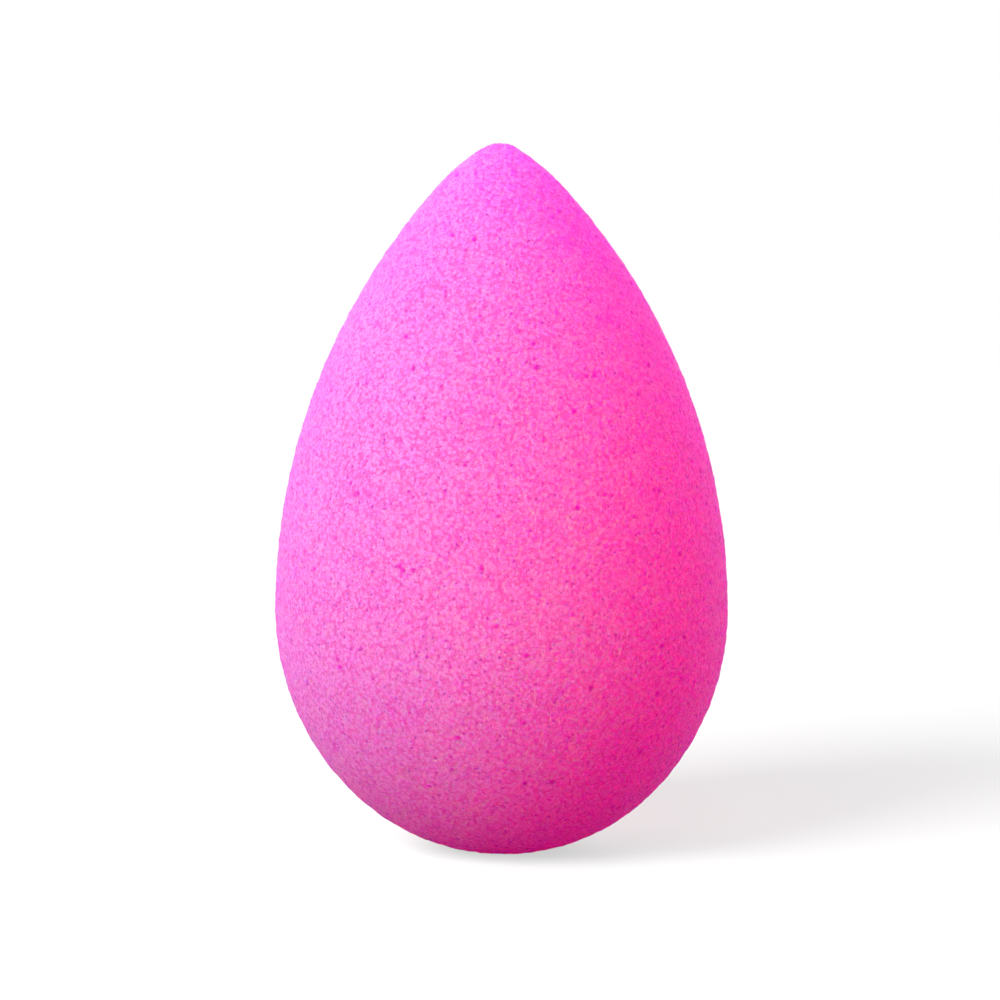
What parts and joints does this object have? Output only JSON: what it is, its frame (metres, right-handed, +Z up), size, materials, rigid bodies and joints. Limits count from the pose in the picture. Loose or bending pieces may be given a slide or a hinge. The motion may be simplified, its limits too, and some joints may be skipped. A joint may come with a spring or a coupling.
{
  "type": "makeup sponge",
  "caption": "Teardrop makeup sponge of soft open-cell foam, with a pointed tip for small places, a broad round base for blending and a flat spot to stand on.",
  "frame": {"origin": "middle of the small flat foot on the round end, where the sponge stands", "axes": "+Z up the axis of the teardrop, from the foot to the point; X and Y are level, and the shape is the same all round"},
  "size_m": [0.0384, 0.0384, 0.06],
  "materials": {
    "foam": "matte moulded open-cell polyurethane foam, hot pink"
  },
  "bodies": {
    "root": {"sponge": "foam"}
  },
  "joints": []
}
